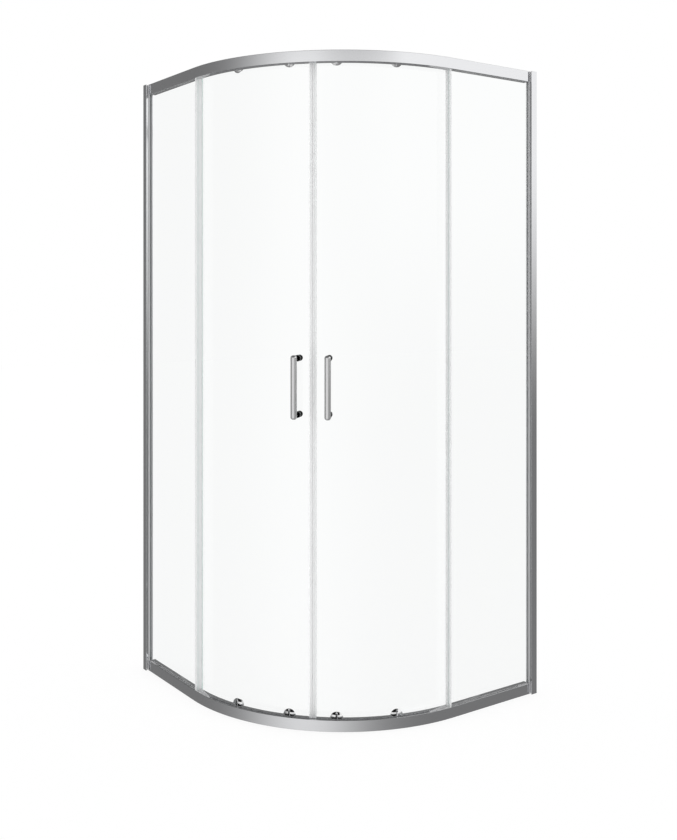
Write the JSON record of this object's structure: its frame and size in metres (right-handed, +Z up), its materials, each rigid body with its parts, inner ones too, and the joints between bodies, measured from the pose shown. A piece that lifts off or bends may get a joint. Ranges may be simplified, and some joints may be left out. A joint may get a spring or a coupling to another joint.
{
  "type": "shower enclosure",
  "caption": "Quadrant corner shower enclosure: flat fixed glass against two walls, curved sliding glass doors on rollers between them, bright aluminium frame, bar handles.",
  "frame": {"origin": "on the floor under the middle of the overall square", "axes": "+Z up; the room's walls are at -X and +Y; the doors meet on the diagonal towards +X -Y"},
  "size_m": [0.89, 0.89, 1.9],
  "materials": {
    "aluminium": "bright polished",
    "glass": "clear toughened",
    "clear_seal": "translucent soft PVC",
    "magnet_cover": "translucent soft PVC",
    "magnet": "bonded magnet strip",
    "gasket": "soft grey rubber",
    "stop_rubber": "black rubber",
    "block": "moulded grey plastic",
    "cover": "moulded plastic",
    "screw": "stainless",
    "chrome": "polished",
    "handle": "polished",
    "knob": "dark polished",
    "axle": "turned",
    "wheel": "nylon",
    "slide": "polished",
    "spring": "spring steel",
    "bush": "clear"
  },
  "bodies": {
    "frame": {"wall_profile_left": "aluminium", "wall_profile_right": "aluminium", "jamb_profile_left": "aluminium", "jamb_profile_right": "aluminium", "jamb_screws": "screw", "screw_covers": "cover", "top_rail": "aluminium", "bottom_rail": "aluminium", "rail_end_blocks": "block", "rail_screws": "screw", "fixed_glass_left": "glass", "fixed_glass_right": "glass", "jamb_gaskets": "gasket", "rail_gaskets": "gasket", "slot_fillers": "clear_seal", "pane_seal_left": "clear_seal", "pane_seal_right": "clear_seal", "door_stops": "stop_rubber"},
    "door_left": {"door_glass_left": "glass", "hook_seal_left": "clear_seal", "magnet_seal_left": "magnet_cover", "magnet_strip_left": "magnet", "handle_left": "handle", "handle_knobs_left": "knob", "glass_bushes_left": "bush", "top_roller_caps_left": "chrome", "top_axles_left": "axle", "roller_nuts_left": "chrome", "bottom_roller_caps_left": "chrome", "release_spring_left_front": "spring", "release_spring_left_rear": "spring"},
    "door_right": {"door_glass_right": "glass", "hook_seal_right": "clear_seal", "magnet_seal_right": "magnet_cover", "magnet_strip_right": "magnet", "handle_right": "handle", "handle_knobs_right": "knob", "glass_bushes_right": "bush", "top_roller_caps_right": "chrome", "top_axles_right": "axle", "roller_nuts_right": "chrome", "bottom_roller_caps_right": "chrome", "release_spring_right_front": "spring", "release_spring_right_rear": "spring"},
    "top_wheel_left_front": {"top_wheel_left_front": "wheel"},
    "release_slide_left_front": {"release_slide_left_front": "slide"},
    "bottom_wheel_left_front": {"bottom_wheel_left_front": "wheel"},
    "top_wheel_left_rear": {"top_wheel_left_rear": "wheel"},
    "release_slide_left_rear": {"release_slide_left_rear": "slide"},
    "bottom_wheel_left_rear": {"bottom_wheel_left_rear": "wheel"},
    "top_wheel_right_front": {"top_wheel_right_front": "wheel"},
    "release_slide_right_front": {"release_slide_right_front": "slide"},
    "bottom_wheel_right_front": {"bottom_wheel_right_front": "wheel"},
    "top_wheel_right_rear": {"top_wheel_right_rear": "wheel"},
    "release_slide_right_rear": {"release_slide_right_rear": "slide"},
    "bottom_wheel_right_rear": {"bottom_wheel_right_rear": "wheel"}
  },
  "joints": [
    {"name": "door_left_slide", "type": "hinge", "parent": "frame", "child": "door_left", "pos_m": [-0.113, 0.113, 0.95], "axis": [0, 0, -1], "range_deg": [0, 24]},
    {"name": "door_right_slide", "type": "hinge", "parent": "frame", "child": "door_right", "pos_m": [-0.113, 0.113, 0.95], "axis": [0, 0, 1], "range_deg": [0, 24]},
    {"name": "top_wheel_left_front_spin", "type": "hinge", "parent": "door_left", "child": "top_wheel_left_front", "pos_m": [0.21183, -0.31033, 1.881], "axis": [0.6088, -0.7934, 0], "continuous": true},
    {"name": "release_left_front_press", "type": "slide", "parent": "door_left", "child": "release_slide_left_front", "axis": [0, 0, -1], "range_m": [0, 0.0065], "stiffness_N_per_m": 900, "springref_m": -0.003, "deforming": ["release_spring_left_front"]},
    {"name": "bottom_wheel_left_front_spin", "type": "hinge", "parent": "release_slide_left_front", "child": "bottom_wheel_left_front", "pos_m": [0.21183, -0.31033, 0.0197], "axis": [0.6088, -0.7934, 0], "continuous": true},
    {"name": "top_wheel_left_rear_spin", "type": "hinge", "parent": "door_left", "child": "top_wheel_left_rear", "pos_m": [0.05631, -0.39303, 1.881], "axis": [0.3173, -0.9483, 0], "continuous": true},
    {"name": "release_left_rear_press", "type": "slide", "parent": "door_left", "child": "release_slide_left_rear", "axis": [0, 0, -1], "range_m": [0, 0.0065], "stiffness_N_per_m": 900, "springref_m": -0.003, "deforming": ["release_spring_left_rear"]},
    {"name": "bottom_wheel_left_rear_spin", "type": "hinge", "parent": "release_slide_left_rear", "child": "bottom_wheel_left_rear", "pos_m": [0.05631, -0.39303, 0.0197], "axis": [0.3173, -0.9483, 0], "continuous": true},
    {"name": "top_wheel_right_front_spin", "type": "hinge", "parent": "door_right", "child": "top_wheel_right_front", "pos_m": [0.31033, -0.21183, 1.881], "axis": [0.7934, -0.6088, 0], "continuous": true},
    {"name": "release_right_front_press", "type": "slide", "parent": "door_right", "child": "release_slide_right_front", "axis": [0, 0, -1], "range_m": [0, 0.0065], "stiffness_N_per_m": 900, "springref_m": -0.003, "deforming": ["release_spring_right_front"]},
    {"name": "bottom_wheel_right_front_spin", "type": "hinge", "parent": "release_slide_right_front", "child": "bottom_wheel_right_front", "pos_m": [0.31033, -0.21183, 0.0197], "axis": [0.7934, -0.6088, 0], "continuous": true},
    {"name": "top_wheel_right_rear_spin", "type": "hinge", "parent": "door_right", "child": "top_wheel_right_rear", "pos_m": [0.39303, -0.05631, 1.881], "axis": [0.9483, -0.3173, 0], "continuous": true},
    {"name": "release_right_rear_press", "type": "slide", "parent": "door_right", "child": "release_slide_right_rear", "axis": [0, 0, -1], "range_m": [0, 0.0065], "stiffness_N_per_m": 900, "springref_m": -0.003, "deforming": ["release_spring_right_rear"]},
    {"name": "bottom_wheel_right_rear_spin", "type": "hinge", "parent": "release_slide_right_rear", "child": "bottom_wheel_right_rear", "pos_m": [0.39303, -0.05631, 0.0197], "axis": [0.9483, -0.3173, 0], "continuous": true}
  ],
  "couplings": [
    {"joint": "top_wheel_left_front_spin", "follows": "door_left_slide", "ratio": 56.168},
    {"joint": "bottom_wheel_left_front_spin", "follows": "door_left_slide", "ratio": -56.168},
    {"joint": "top_wheel_left_rear_spin", "follows": "door_left_slide", "ratio": 56.168},
    {"joint": "bottom_wheel_left_rear_spin", "follows": "door_left_slide", "ratio": -56.168},
    {"joint": "top_wheel_right_front_spin", "follows": "door_right_slide", "ratio": -56.168},
    {"joint": "bottom_wheel_right_front_spin", "follows": "door_right_slide", "ratio": 56.168},
    {"joint": "top_wheel_right_rear_spin", "follows": "door_right_slide", "ratio": -56.168},
    {"joint": "bottom_wheel_right_rear_spin", "follows": "door_right_slide", "ratio": 56.168}
  ]
}
